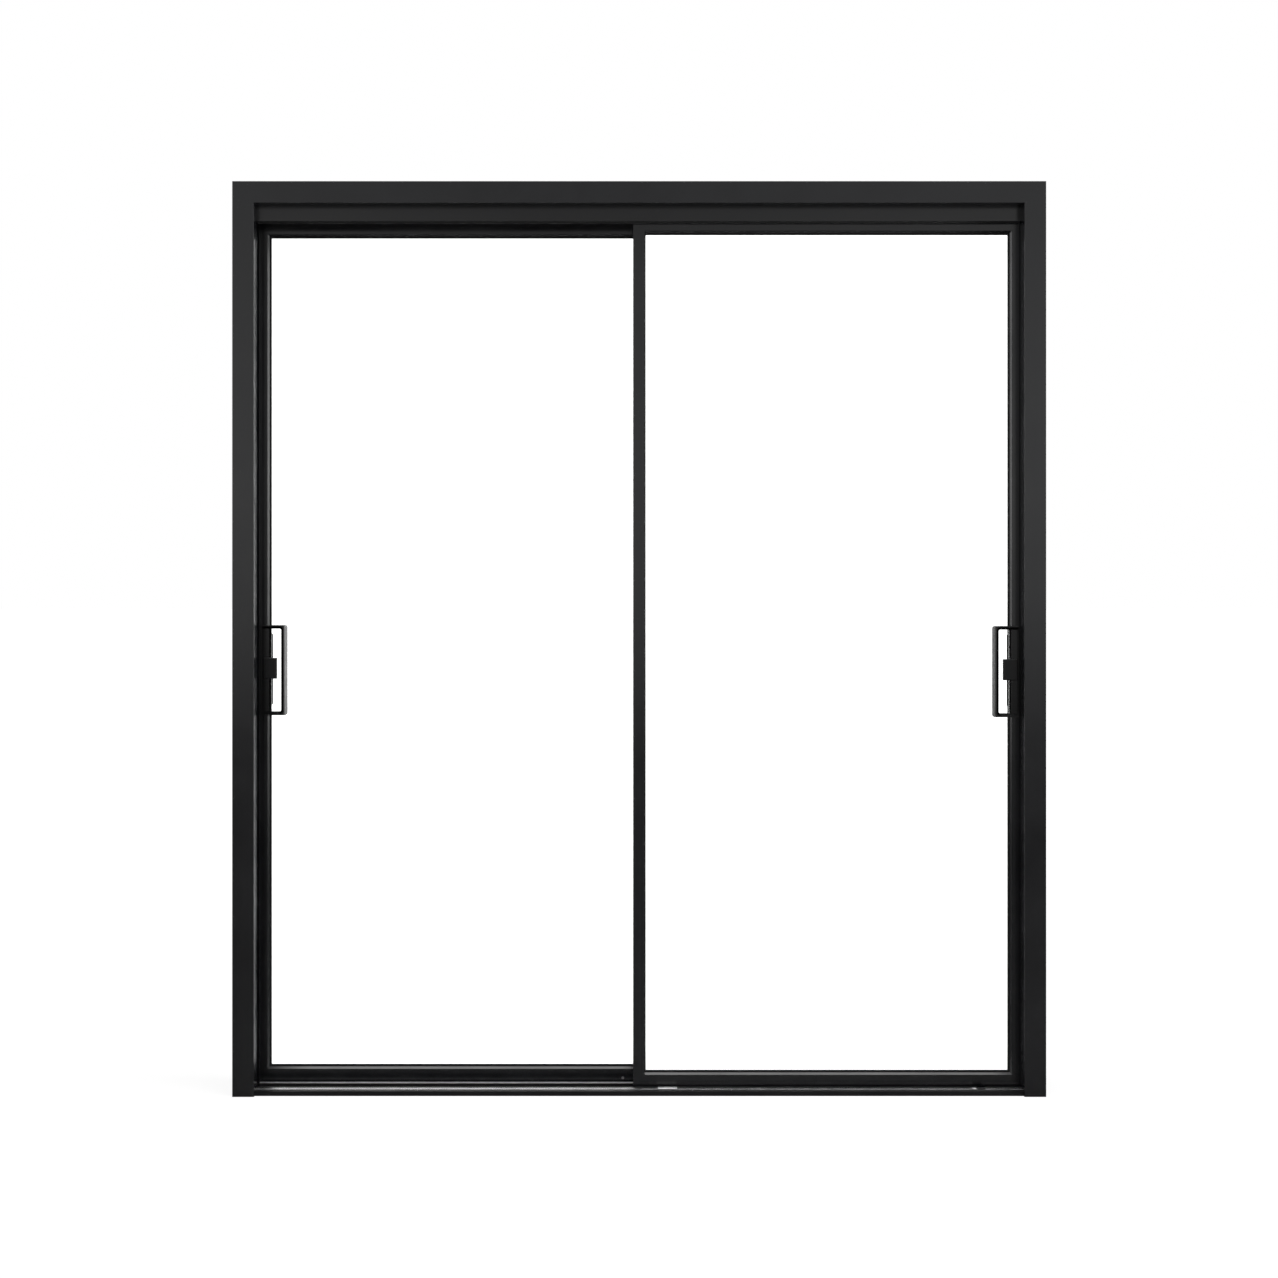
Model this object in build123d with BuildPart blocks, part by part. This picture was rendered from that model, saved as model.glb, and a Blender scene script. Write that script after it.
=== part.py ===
from build123d import *
import os

os.makedirs("parts", exist_ok=True)

# Overall size of the door set. X runs along the wall, Y runs into the wall and Z is up.
# The origin is the centre of the sill's underside.
overall_width = 1800.0
overall_height = 2025.0
frame_depth = 124.0

# Casing around the front of the opening; it takes up the depth the tracks leave
casing_face = 48.0
casing_wall = 2.5
casing_edge_radius = 0.8

# Jambs, head and fascia behind the casing
jamb_set_back = 16.0
jamb_web = 4.0
rib_thickness = 3.0
middle_rib_width = 14.0
hollow_rib_wall = 2.0
head_web = 3.0
fascia_drop = 35.0
fascia_lip = 2.0
fascia_lip_height = 4.0
fascia_lip_radius = 0.6

# Sliding panels
panel_thickness = 24.0
running_clearance = 5.0
stile_width = 26.0
stile_wall = 2.5
pocket_entry = 10.0
panel_bottom = 8.0
head_room = 48.0
front_glass_line = 14.0
rear_glass_line = 8.0
rear_panel_shift = 2.0
bottom_rail_height = 27.0
top_rail_height = 34.5
rail_wall = 2.9

# Glass, gasket and glazing bead
glass_thickness = 6.0
glass_rebate = 6.0
glass_edge_gap = 1.0
gasket_thickness = 2.0
gasket_sight = 8.8
gasket_sight_meeting = 1.0
bead_height = 5.2
bead_foot = 1.0
bead_set_back = 1.5
bead_crest = 1.0

# Sill
sill_height = 12.0
sill_floor = 3.0
sill_nose_reach = 29.0
sill_wall = 2.5
sill_nose_rise = 1.5
sill_nose_slope = 10.5
middle_wall_height = 9.5
tread_thickness = 1.0
tread_crown = 0.3
front_tread_width = 12.5
middle_tread_width = 10.0
tread_edge = 0.5
weep_inset = 89.0
weep_width = 18.0
weep_depth = 9.0

# Tracks and rollers
track_width = 3.0
track_rise = 4.0
track_crown = 1.2
wheel_tread_radius = 7.7
wheel_flange_rise = 1.2
wheel_width = 6.0
wheel_side_play = 1.0
wheel_groove_play = 0.4
wheel_seat_gap = 0.3
axle_radius = 2.0
axle_play = 0.2
housing_length = 54.0
housing_width = 14.0
housing_rise = 4.0
roller_inset = 80.0

# Guide shoes on top of the panels
shoe_length = 40.0
shoe_height = 17.0
shoe_play = 0.5
shoe_inset = 60.0
shoe_edge_radius = 1.5

# Pull handle and thumb latch
handle_low = 837.0
handle_high = 1040.0
handle_reach = 17.0
handle_overhang = 48.0
handle_bar = 14.5
handle_arm = 8.5
handle_loop_depth = 10.0
handle_bevel = 7.0
handle_rim_bevel = 6.0
handle_corner = 5.0
handle_opening_corner = 3.0
escutcheon_width = 20.0
escutcheon_depth = 9.0
escutcheon_bevel = 5.0
latch_low = 919.0
latch_high = 966.0
latch_overhang = 25.0
latch_inset = 4.0
latch_gap = 0.4
latch_chamfer = 1.6
latch_shank_width = 6.0
latch_shank_height = 12.0
latch_shank_depth = 6.0
latch_travel = 14.0
latch_slot_play = 1.0

# Pull plate on the back of each lock stile and keeper on each jamb
pull_plate_low = 857.0
pull_plate_high = 1020.0
pull_plate_width = 19.0
pull_plate_proud = 2.0
pull_plate_corner = 4.0
pull_dish_margin = 4.0
pull_dish_depth = 1.2
keeper_height = 90.0
keeper_width = 20.0
keeper_thickness = 2.5
keeper_slot_height = 40.0
keeper_slot_width = 8.0

# Positions that follow from the sizes
front_y = -frame_depth / 2
back_y = frame_depth / 2
outer_x = overall_width / 2
opening_x = outer_x - casing_face
opening_z = overall_height - casing_face
jamb_outer_x = outer_x - jamb_set_back
jamb_web_x = jamb_outer_x - jamb_web
head_top_z = overall_height - jamb_set_back
head_web_z = head_top_z - head_web
rib_end_z = opening_z - fascia_drop
channel_width = panel_thickness + 2 * running_clearance
rear_channel_y = back_y - rib_thickness - channel_width
rear_track_y = rear_channel_y + channel_width / 2
middle_rib_y = rear_channel_y - middle_rib_width
front_channel_y = middle_rib_y - channel_width
front_track_y = front_channel_y + channel_width / 2
casing_back_y = front_channel_y - rib_thickness
panel_edge_x = opening_x + pocket_entry
panel_top = head_web_z - head_room
bottom_rail_top = panel_bottom + bottom_rail_height
top_rail_bottom = panel_top - top_rail_height
half_panel = panel_thickness / 2
glazing_half = glass_thickness / 2 + gasket_thickness
track_top = sill_floor + track_rise
axle_z = track_top + wheel_seat_gap + wheel_tread_radius
rail_web_z = bottom_rail_top - glass_rebate - rail_wall
latch_middle_z = (latch_low + latch_high) / 2
rim_half_height = (handle_high - handle_low) / 2 - handle_arm / 2
handle_outer = opening_x - running_clearance
escutcheon_inner = handle_outer - escutcheon_width
latch_outer = handle_outer - latch_inset
nose_y = casing_back_y - sill_nose_reach
front_tread_y = nose_y + sill_nose_slope
middle_tread_y = middle_rib_y + tread_edge
weep_middle = opening_x - weep_inset

# Side, middle of the track, name, outer edge and glass line of each panel
panels = (
    (1, front_track_y, "right", panel_edge_x, front_glass_line),
    (-1, rear_track_y, "left", panel_edge_x + rear_panel_shift, rear_glass_line),
)


def rectangle(low, high, mode=Mode.ADD):
    """Draw the rectangle between two opposite corners in the open sketch."""
    with Locations(((low[0] + high[0]) / 2, (low[1] + high[1]) / 2)):
        Rectangle(abs(high[0] - low[0]), abs(high[1] - low[1]), mode=mode)


def block(low, high, mode=Mode.ADD):
    """Add the box between two opposite corners to the open part."""
    with Locations(tuple((a + b) / 2 for a, b in zip(low, high))):
        Box(*(abs(b - a) for a, b in zip(low, high)), mode=mode)


def facing(y):
    """Plane at the given depth that looks to the front, with X across and Z up."""
    return Plane(origin=(0, y, 0), x_dir=(1, 0, 0), z_dir=(0, -1, 0))


def across(x):
    """Plane across the door at the given place along X, with Y across and Z up."""
    return Plane(origin=(x, 0, 0), x_dir=(0, 1, 0), z_dir=(1, 0, 0))


def mitre(side):
    """Plane of a corner mitre, with the upright of that side above it."""
    return Plane(origin=(side * opening_x, 0, opening_z), z_dir=(side, 0, -1))


def save(part, name):
    """Label a finished piece and write its file."""
    part.label = name
    export_step(part, f"parts/{name}.step")


def glazing_strip(mid_y, edge, inward, rear):
    """Draw one bead profile: a foot, a slope towards the glass and a narrow crest."""
    sign = 1 if rear else -1
    outer = mid_y + sign * (half_panel - bead_set_back)
    inner = mid_y + sign * glazing_half
    crest = inner + sign * bead_crest
    foot = edge + inward * bead_foot
    top = edge + inward * bead_height
    return ((outer, edge), (outer, foot), (crest, top), (inner, top), (inner, edge))


# Casing uprights, hollow and mitred at the top
for side, name in ((-1, "casing_left"), (1, "casing_right")):
    with BuildPart() as casing_upright:
        with BuildSketch() as upright_section:
            rectangle((side * opening_x, front_y), (side * outer_x, casing_back_y))
            fillet(upright_section.vertices().group_by(Axis.Y)[0], casing_edge_radius)
            rectangle(
                (side * (opening_x + casing_wall), front_y + casing_wall),
                (side * (outer_x - casing_wall), casing_back_y - casing_wall),
                mode=Mode.SUBTRACT,
            )
        extrude(amount=overall_height)
        split(bisect_by=mitre(side), keep=Keep.TOP)
    save(casing_upright.part, name)

# Casing head, mitred at both ends
with BuildPart() as casing_head:
    with BuildSketch(across(-outer_x)) as head_section:
        rectangle((front_y, opening_z), (casing_back_y, overall_height))
        fillet(head_section.vertices().group_by(Axis.X)[0], casing_edge_radius)
        rectangle(
            (front_y + casing_wall, opening_z + casing_wall),
            (casing_back_y - casing_wall, overall_height - casing_wall),
            mode=Mode.SUBTRACT,
        )
    extrude(amount=overall_width)
    split(bisect_by=mitre(1), keep=Keep.BOTTOM)
    split(bisect_by=mitre(-1), keep=Keep.BOTTOM)
save(casing_head.part, "casing_head")

# Jambs: a web with a front rib, a hollow middle rib and a rear rib around the two pockets
for side, name in ((-1, "jamb_left"), (1, "jamb_right")):
    with BuildPart() as jamb:
        with BuildSketch():
            rectangle((side * jamb_web_x, casing_back_y), (side * jamb_outer_x, back_y))
            rectangle((side * opening_x, casing_back_y), (side * jamb_web_x, front_channel_y))
            rectangle((side * opening_x, middle_rib_y), (side * jamb_web_x, rear_channel_y))
            rectangle(
                (side * (opening_x + hollow_rib_wall), middle_rib_y + hollow_rib_wall),
                (side * jamb_web_x, rear_channel_y - hollow_rib_wall),
                mode=Mode.SUBTRACT,
            )
            rectangle((side * opening_x, back_y - rib_thickness), (side * jamb_web_x, back_y))
        extrude(amount=head_web_z)
    save(jamb.part, name)

# Head: a web over the jambs, a hollow middle rib and a rear rib
with BuildPart() as head_channel:
    with BuildSketch(across(-opening_x)):
        rectangle((middle_rib_y, rib_end_z), (rear_channel_y, head_web_z))
        rectangle(
            (middle_rib_y + hollow_rib_wall, rib_end_z + hollow_rib_wall),
            (rear_channel_y - hollow_rib_wall, head_web_z),
            mode=Mode.SUBTRACT,
        )
        rectangle((back_y - rib_thickness, rib_end_z), (back_y, head_web_z))
    extrude(amount=2 * opening_x)
    block((-jamb_outer_x, casing_back_y, head_web_z), (jamb_outer_x, back_y, head_top_z))
save(head_channel.part, "head_channel")

# Fascia that closes the front of the head, with a small lip along its lower edge
with BuildPart() as head_fascia:
    with BuildSketch(across(-opening_x)) as fascia_section:
        rectangle((casing_back_y, rib_end_z), (front_channel_y, head_web_z))
        rectangle(
            (casing_back_y - fascia_lip, rib_end_z),
            (casing_back_y, rib_end_z + fascia_lip_height),
        )
        fillet(
            fascia_section.vertices().group_by(Axis.X)[0].sort_by(Axis.Y)[0],
            fascia_lip_radius,
        )
    extrude(amount=2 * opening_x)
save(head_fascia.part, "head_fascia")

# Sill: a hollow nose and middle wall, two channels, a rear wall and tongues into the jambs
with BuildPart() as sill:
    with BuildSketch(across(-opening_x)):
        rectangle((nose_y, 0), (back_y, sill_floor))
        with BuildLine():
            Polyline(
                (nose_y, 0),
                (nose_y, sill_height - sill_nose_rise),
                (front_tread_y, sill_height),
                (front_channel_y, sill_height),
                (front_channel_y, 0),
                close=True,
            )
        make_face()
        rectangle(
            (nose_y + sill_wall, sill_floor),
            (front_channel_y - sill_wall, sill_height - sill_nose_rise - sill_wall),
            mode=Mode.SUBTRACT,
        )
        rectangle(
            (front_tread_y, sill_height - tread_thickness),
            (front_tread_y + front_tread_width, sill_height),
            mode=Mode.SUBTRACT,
        )
        rectangle((middle_rib_y, 0), (rear_channel_y, middle_wall_height))
        rectangle(
            (middle_rib_y + sill_wall, sill_floor),
            (rear_channel_y - sill_wall, middle_wall_height - sill_wall),
            mode=Mode.SUBTRACT,
        )
        rectangle(
            (middle_tread_y, middle_wall_height - tread_thickness),
            (middle_tread_y + middle_tread_width, middle_wall_height),
            mode=Mode.SUBTRACT,
        )
        rectangle((back_y - rib_thickness, 0), (back_y, sill_height))
    extrude(amount=2 * opening_x)
    for side in (-1, 1):
        for channel_y in (front_channel_y, rear_channel_y):
            block(
                (side * opening_x, channel_y, 0),
                (side * jamb_web_x, channel_y + channel_width, sill_floor),
            )
    block(
        (weep_middle - weep_width / 2, front_channel_y - weep_depth, sill_floor),
        (weep_middle + weep_width / 2, front_channel_y, sill_height),
        mode=Mode.SUBTRACT,
    )
save(sill.part, "sill")

# Bright treads let into the tops of the sill's nose and middle wall
for tread_y, tread_width, tread_top, name in (
    (front_tread_y, front_tread_width, sill_height, "tread_front"),
    (middle_tread_y, middle_tread_width, middle_wall_height, "tread_middle"),
):
    with BuildPart() as tread:
        with BuildSketch(across(-opening_x)) as tread_section:
            rectangle(
                (tread_y, tread_top - tread_thickness),
                (tread_y + tread_width, tread_top + tread_crown),
            )
            fillet(tread_section.vertices().group_by(Axis.Y)[-1], tread_crown)
        extrude(amount=2 * opening_x)
    save(tread.part, name)

# Tracks in the sill channels, with a rounded crown for the rollers
for mid_y, name in ((front_track_y, "track_front"), (rear_track_y, "track_rear")):
    with BuildPart() as track:
        with BuildSketch(across(-opening_x)) as track_section:
            rectangle(
                (mid_y - track_width / 2, sill_floor),
                (mid_y + track_width / 2, track_top),
            )
            fillet(track_section.vertices().group_by(Axis.Y)[-1], track_crown)
        extrude(amount=2 * opening_x)
    save(track.part, name)

# Keepers on the jamb webs, each with a slot at the height of the latch
for side, mid_y, hand, edge_x, glass_line in panels:
    with BuildPart() as keeper:
        block(
            (side * jamb_web_x, mid_y - keeper_width / 2, latch_middle_z - keeper_height / 2),
            (
                side * (jamb_web_x - keeper_thickness),
                mid_y + keeper_width / 2,
                latch_middle_z + keeper_height / 2,
            ),
        )
        block(
            (
                side * jamb_web_x,
                mid_y - keeper_slot_width / 2,
                latch_middle_z - keeper_slot_height / 2,
            ),
            (
                side * (jamb_web_x - keeper_thickness),
                mid_y + keeper_slot_width / 2,
                latch_middle_z + keeper_slot_height / 2,
            ),
            mode=Mode.SUBTRACT,
        )
    save(keeper.part, f"keeper_{hand}")

for side, mid_y, hand, edge_x, glass_line in panels:
    lock_face_x = edge_x - stile_width
    meeting_edge_x = glass_line - stile_width
    handle_inner = lock_face_x - handle_overhang
    latch_inner = lock_face_x - latch_overhang

    # Lock stile: a hollow tube with a channel for the glass
    with BuildPart() as lock_stile:
        with BuildSketch(Plane.XY.offset(panel_bottom)):
            rectangle(
                (side * lock_face_x, mid_y - half_panel),
                (side * edge_x, mid_y + half_panel),
            )
            rectangle(
                (side * lock_face_x, mid_y - glazing_half),
                (side * (lock_face_x + glass_rebate), mid_y + glazing_half),
                mode=Mode.SUBTRACT,
            )
            rectangle(
                (side * (lock_face_x + glass_rebate + stile_wall), mid_y - half_panel + stile_wall),
                (side * (edge_x - stile_wall), mid_y + half_panel - stile_wall),
                mode=Mode.SUBTRACT,
            )
        extrude(amount=panel_top - panel_bottom)
    save(lock_stile.part, f"{hand}_lock_stile")

    # Meeting stile: the same tube, glazed straight into its channel
    with BuildPart() as meeting_stile:
        with BuildSketch(Plane.XY.offset(panel_bottom)):
            rectangle(
                (side * meeting_edge_x, mid_y - half_panel),
                (side * glass_line, mid_y + half_panel),
            )
            rectangle(
                (side * glass_line, mid_y - glazing_half),
                (side * (glass_line - glass_rebate), mid_y + glazing_half),
                mode=Mode.SUBTRACT,
            )
            rectangle(
                (side * (meeting_edge_x + stile_wall), mid_y - half_panel + stile_wall),
                (
                    side * (glass_line - glass_rebate - stile_wall),
                    mid_y + half_panel - stile_wall,
                ),
                mode=Mode.SUBTRACT,
            )
        extrude(amount=panel_top - panel_bottom)
    save(meeting_stile.part, f"{hand}_meeting_stile")

    rail_start_x = min(side * glass_line, side * lock_face_x)
    rail_length = lock_face_x - glass_line

    # Top rail: hollow, with the glass channel along its lower edge
    with BuildPart() as top_rail:
        with BuildSketch(across(rail_start_x)):
            rectangle((mid_y - half_panel, top_rail_bottom), (mid_y + half_panel, panel_top))
            rectangle(
                (mid_y - glazing_half, top_rail_bottom),
                (mid_y + glazing_half, top_rail_bottom + glass_rebate),
                mode=Mode.SUBTRACT,
            )
            rectangle(
                (mid_y - half_panel + rail_wall, top_rail_bottom + glass_rebate + rail_wall),
                (mid_y + half_panel - rail_wall, panel_top - rail_wall),
                mode=Mode.SUBTRACT,
            )
        extrude(amount=rail_length)
    save(top_rail.part, f"{hand}_top_rail")

    # Bottom rail: open below for the rollers, with the glass channel along its upper edge
    with BuildPart() as bottom_rail:
        with BuildSketch(across(rail_start_x)):
            rectangle(
                (mid_y - half_panel, panel_bottom), (mid_y + half_panel, bottom_rail_top)
            )
            rectangle(
                (mid_y - glazing_half, bottom_rail_top - glass_rebate),
                (mid_y + glazing_half, bottom_rail_top),
                mode=Mode.SUBTRACT,
            )
            rectangle(
                (mid_y - half_panel + rail_wall, panel_bottom),
                (mid_y + half_panel - rail_wall, rail_web_z),
                mode=Mode.SUBTRACT,
            )
        extrude(amount=rail_length)
    save(bottom_rail.part, f"{hand}_bottom_rail")

    # Glazing beads: a sloped strip swept up, across and down with mitred corners
    for rear, place in ((False, "front"), (True, "rear")):
        with BuildPart() as bead:
            with BuildLine() as bead_path:
                Polyline(
                    (side * glass_line, mid_y, bottom_rail_top),
                    (side * lock_face_x, mid_y, bottom_rail_top),
                    (side * lock_face_x, mid_y, top_rail_bottom),
                    (side * glass_line, mid_y, top_rail_bottom),
                )
            with BuildSketch(across(side * glass_line)):
                with BuildLine():
                    Polyline(*glazing_strip(mid_y, bottom_rail_top, 1, rear), close=True)
                make_face()
            sweep(transition=Transition.RIGHT)
        save(bead.part, f"{hand}_bead_{place}")

    # Glass, and the gasket that wraps its edge
    glass_left = glass_line - glass_rebate + glass_edge_gap
    glass_right = lock_face_x + glass_rebate - glass_edge_gap
    glass_bottom = bottom_rail_top - glass_rebate + glass_edge_gap
    glass_top = top_rail_bottom + glass_rebate - glass_edge_gap
    with BuildPart() as glass:
        block(
            (side * glass_left, mid_y - glass_thickness / 2, glass_bottom),
            (side * glass_right, mid_y + glass_thickness / 2, glass_top),
        )
    save(glass.part, f"{hand}_glass")

    with BuildPart() as gasket:
        with BuildSketch(facing(mid_y + glazing_half)):
            rectangle(
                (side * (glass_line - glass_rebate), bottom_rail_top - glass_rebate),
                (side * (lock_face_x + glass_rebate), top_rail_bottom + glass_rebate),
            )
            rectangle(
                (side * (glass_line + gasket_sight_meeting), bottom_rail_top + gasket_sight),
                (side * (lock_face_x - gasket_sight), top_rail_bottom - gasket_sight),
                mode=Mode.SUBTRACT,
            )
        extrude(amount=2 * glazing_half)
        add(glass.part, mode=Mode.SUBTRACT)
    save(gasket.part, f"{hand}_gasket")

    # Rollers: a housing under the rail's web and a grooved wheel with its axle
    wheel_flange_radius = wheel_tread_radius + wheel_flange_rise
    for near, place in ((True, "inner"), (False, "outer")):
        roller_x = side * (
            meeting_edge_x + roller_inset if near else edge_x - roller_inset
        )
        with BuildPart() as housing:
            block(
                (
                    roller_x - housing_length / 2,
                    mid_y - housing_width / 2,
                    panel_bottom + housing_rise,
                ),
                (roller_x + housing_length / 2, mid_y + housing_width / 2, rail_web_z),
            )
            block(
                (
                    roller_x - wheel_flange_radius - wheel_side_play,
                    mid_y - wheel_width / 2 - wheel_side_play,
                    panel_bottom + housing_rise,
                ),
                (
                    roller_x + wheel_flange_radius + wheel_side_play,
                    mid_y + wheel_width / 2 + wheel_side_play,
                    rail_web_z,
                ),
                mode=Mode.SUBTRACT,
            )
            with Locations(Location((roller_x, mid_y, axle_z), (90, 0, 0))):
                Cylinder(axle_radius + axle_play, housing_width, mode=Mode.SUBTRACT)
        save(housing.part, f"{hand}_roller_housing_{place}")

        with BuildPart() as wheel:
            groove_half = track_width / 2 + wheel_groove_play
            half_wheel = wheel_width / 2
            half_axle = housing_width / 2
            with BuildSketch(
                Plane(origin=(roller_x, mid_y, axle_z), x_dir=(0, 1, 0), z_dir=(1, 0, 0))
            ):
                with BuildLine():
                    Polyline(
                        (-half_axle, 0),
                        (half_axle, 0),
                        (half_axle, axle_radius),
                        (half_wheel, axle_radius),
                        (half_wheel, wheel_flange_radius),
                        (groove_half, wheel_flange_radius),
                        (track_width / 2, wheel_tread_radius),
                        (-track_width / 2, wheel_tread_radius),
                        (-groove_half, wheel_flange_radius),
                        (-half_wheel, wheel_flange_radius),
                        (-half_wheel, axle_radius),
                        (-half_axle, axle_radius),
                        close=True,
                    )
                make_face()
            revolve(axis=Axis((roller_x, mid_y, axle_z), (0, 1, 0)))
        save(wheel.part, f"{hand}_roller_wheel_{place}")

    # Guide shoes that run between the ribs of the head
    for near, place in ((True, "inner"), (False, "outer")):
        shoe_x = side * (meeting_edge_x + shoe_inset if near else edge_x - shoe_inset)
        with BuildPart() as shoe:
            with BuildSketch(Plane.XY.offset(panel_top)) as shoe_outline:
                with Locations((shoe_x, mid_y)):
                    Rectangle(shoe_length, channel_width - 2 * shoe_play)
                fillet(shoe_outline.vertices(), shoe_edge_radius)
            extrude(amount=shoe_height)
        save(shoe.part, f"{hand}_guide_{place}")

    # Pull handle: escutcheon on the lock stile and a flat loop in front of the glass
    panel_face_y = mid_y - half_panel
    loop_front_y = panel_face_y - handle_reach
    loop_back_y = loop_front_y + handle_loop_depth
    escutcheon_front_y = panel_face_y - escutcheon_depth
    bevel_y = loop_front_y + handle_bevel
    with BuildPart() as handle:
        with BuildSketch(facing(loop_back_y)) as loop_outline:
            rectangle((side * handle_inner, handle_low), (side * handle_outer, handle_high))
            fillet(loop_outline.vertices(), handle_corner)
            with BuildSketch(mode=Mode.SUBTRACT) as finger_opening:
                rectangle(
                    (side * (handle_inner + handle_bar), handle_low + handle_arm),
                    (side * (handle_outer + handle_corner), handle_high - handle_arm),
                )
                fillet(finger_opening.vertices(), handle_opening_corner)
        extrude(amount=handle_loop_depth)
        loop_face = handle.faces().sort_by(Axis.Y)[0]
        opening_edges = loop_face.edges().filter_by(
            lambda edge: abs(edge.center().X) > handle_inner + handle_bar / 2
            and abs(edge.center().X) < handle_outer - handle_corner
            and abs(edge.center().Z - latch_middle_z) < rim_half_height
        )
        chamfer(opening_edges, handle_rim_bevel)
        with BuildSketch(facing(panel_face_y)) as escutcheon_outline:
            rectangle((side * escutcheon_inner, handle_low), (side * handle_outer, handle_high))
            fillet(escutcheon_outline.vertices(), handle_opening_corner)
        extrude(amount=escutcheon_depth)
        with BuildSketch(Plane.XY.offset(handle_low)):
            with BuildLine():
                Polyline(
                    (side * handle_inner, loop_front_y),
                    (side * (handle_inner + handle_bevel), loop_front_y),
                    (side * handle_inner, bevel_y),
                    close=True,
                )
            make_face()
        extrude(amount=handle_high - handle_low, mode=Mode.SUBTRACT)
        with BuildSketch(Plane.XY.offset(handle_low + handle_arm)):
            with BuildLine():
                Polyline(
                    (side * escutcheon_inner, escutcheon_front_y),
                    (side * (escutcheon_inner + escutcheon_bevel), escutcheon_front_y),
                    (side * escutcheon_inner, escutcheon_front_y + escutcheon_bevel),
                    close=True,
                )
            make_face()
        extrude(amount=handle_high - handle_low - 2 * handle_arm, mode=Mode.SUBTRACT)
        block(
            (
                side * (latch_outer - latch_shank_width - latch_slot_play),
                escutcheon_front_y,
                latch_middle_z - latch_shank_height / 2 - latch_slot_play,
            ),
            (
                side * (latch_outer + latch_slot_play),
                escutcheon_front_y + latch_shank_depth + latch_slot_play,
                latch_middle_z + latch_shank_height / 2 + latch_travel + latch_slot_play,
            ),
            mode=Mode.SUBTRACT,
        )
    save(handle.part, f"{hand}_handle")

    # Thumb latch: a tab over the escutcheon with a shank in its slot
    with BuildPart() as latch:
        latch_back_y = escutcheon_front_y - latch_gap
        block(
            (side * latch_inner, loop_front_y, latch_low),
            (side * latch_outer, latch_back_y, latch_high),
        )
        chamfer(latch.faces().sort_by(Axis.Y)[0].edges(), latch_chamfer)
        block(
            (
                side * (latch_outer - latch_shank_width),
                latch_back_y,
                latch_middle_z - latch_shank_height / 2,
            ),
            (
                side * latch_outer,
                escutcheon_front_y + latch_shank_depth,
                latch_middle_z + latch_shank_height / 2,
            ),
        )
    save(latch.part, f"{hand}_latch")

    # Pull plate on the back of the lock stile, dished for the fingertips
    plate_y = mid_y + half_panel
    plate_mid_x = side * (handle_outer - pull_plate_width / 2)
    plate_mid_z = (pull_plate_low + pull_plate_high) / 2
    plate_height = pull_plate_high - pull_plate_low
    with BuildPart() as pull_plate:
        with BuildSketch(facing(plate_y + pull_plate_proud)):
            with Locations((plate_mid_x, plate_mid_z)):
                RectangleRounded(pull_plate_width, plate_height, pull_plate_corner)
        extrude(amount=pull_plate_proud)
        with BuildSketch(facing(plate_y + pull_plate_proud)):
            with Locations((plate_mid_x, plate_mid_z)):
                RectangleRounded(
                    pull_plate_width - 2 * pull_dish_margin,
                    plate_height - 2 * pull_dish_margin,
                    pull_plate_corner,
                )
        extrude(amount=pull_dish_depth, mode=Mode.SUBTRACT)
    save(pull_plate.part, f"{hand}_pull_plate")
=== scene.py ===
import logging
import math
import random
from dataclasses import dataclass
from enum import Enum

import bmesh
import bpy
from mathutils import Matrix, Vector


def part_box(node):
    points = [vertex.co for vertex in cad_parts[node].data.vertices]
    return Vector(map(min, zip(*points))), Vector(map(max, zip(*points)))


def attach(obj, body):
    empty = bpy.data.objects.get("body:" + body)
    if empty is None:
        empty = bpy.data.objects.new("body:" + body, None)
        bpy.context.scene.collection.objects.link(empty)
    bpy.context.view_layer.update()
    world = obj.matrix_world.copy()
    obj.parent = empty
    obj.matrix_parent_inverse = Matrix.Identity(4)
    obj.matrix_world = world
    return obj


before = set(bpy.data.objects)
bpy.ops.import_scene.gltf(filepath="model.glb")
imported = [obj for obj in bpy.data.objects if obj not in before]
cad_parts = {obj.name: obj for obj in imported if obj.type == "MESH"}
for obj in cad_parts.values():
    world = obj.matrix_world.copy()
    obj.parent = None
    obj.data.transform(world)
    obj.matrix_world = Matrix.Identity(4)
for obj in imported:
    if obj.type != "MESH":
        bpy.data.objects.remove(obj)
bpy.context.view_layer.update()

log = logging.getLogger("sliding_door")

Pair = tuple[float, float]
Triple = tuple[float, float, float]
Colour = Triple
Socket = bpy.types.NodeSocket

# One millimetre in metres.
MM = 0.001

FORWARD = Vector((0.0, -1.0, 0.0))
BACKWARD = Vector((0.0, 1.0, 0.0))
DOWNWARD = Vector((0.0, 0.0, -1.0))

# Softened edges: rows of faces in each, and the least angle between faces that gets one.
EDGE_ROWS = 2
EDGE_ANGLE = math.radians(40)

# Noise values between which a finish goes from its dark to its light colour, and those
# between which it goes from smooth to rough.
TINT_RANGE = (0.35, 0.65)
NOISE_RANGE = (0.3, 0.7)


class Hand(Enum):
    """The two panels of the door, named for the side they close."""

    LEFT = "left"
    RIGHT = "right"

    @property
    def side(self) -> int:
        """Sign of X on this side."""
        return 1 if self is Hand.RIGHT else -1

    @property
    def body(self) -> str:
        """Name of the panel's CAD body."""
        return f"{self.value}_panel"

    def node(self, piece: str) -> str:
        """Name of one of the panel's CAD nodes."""
        return f"{self.value}_{piece}"


class Drive(Enum):
    """Shape of the recess in a screw head: a cross, or a plain round socket."""

    CROSS = "cross"
    SOCKET = "socket"


@dataclass(frozen=True)
class Grain:
    """A noise pattern: cells for each metre, octaves, and weight of the finer octaves.

    The stretch scales the coordinates along X, Y and Z before the noise is laid on them.
    """

    scale: float
    detail: float
    roughness: float = 0.5
    stretch: Triple | None = None


class Sum(Enum):
    """The kinds of sum in the node trees, with the node's own name for each."""

    ADD = "ADD"
    SUBTRACT = "SUBTRACT"
    MULTIPLY = "MULTIPLY"
    LARGER = "MAXIMUM"
    WITHOUT_SIGN = "ABSOLUTE"


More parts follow.
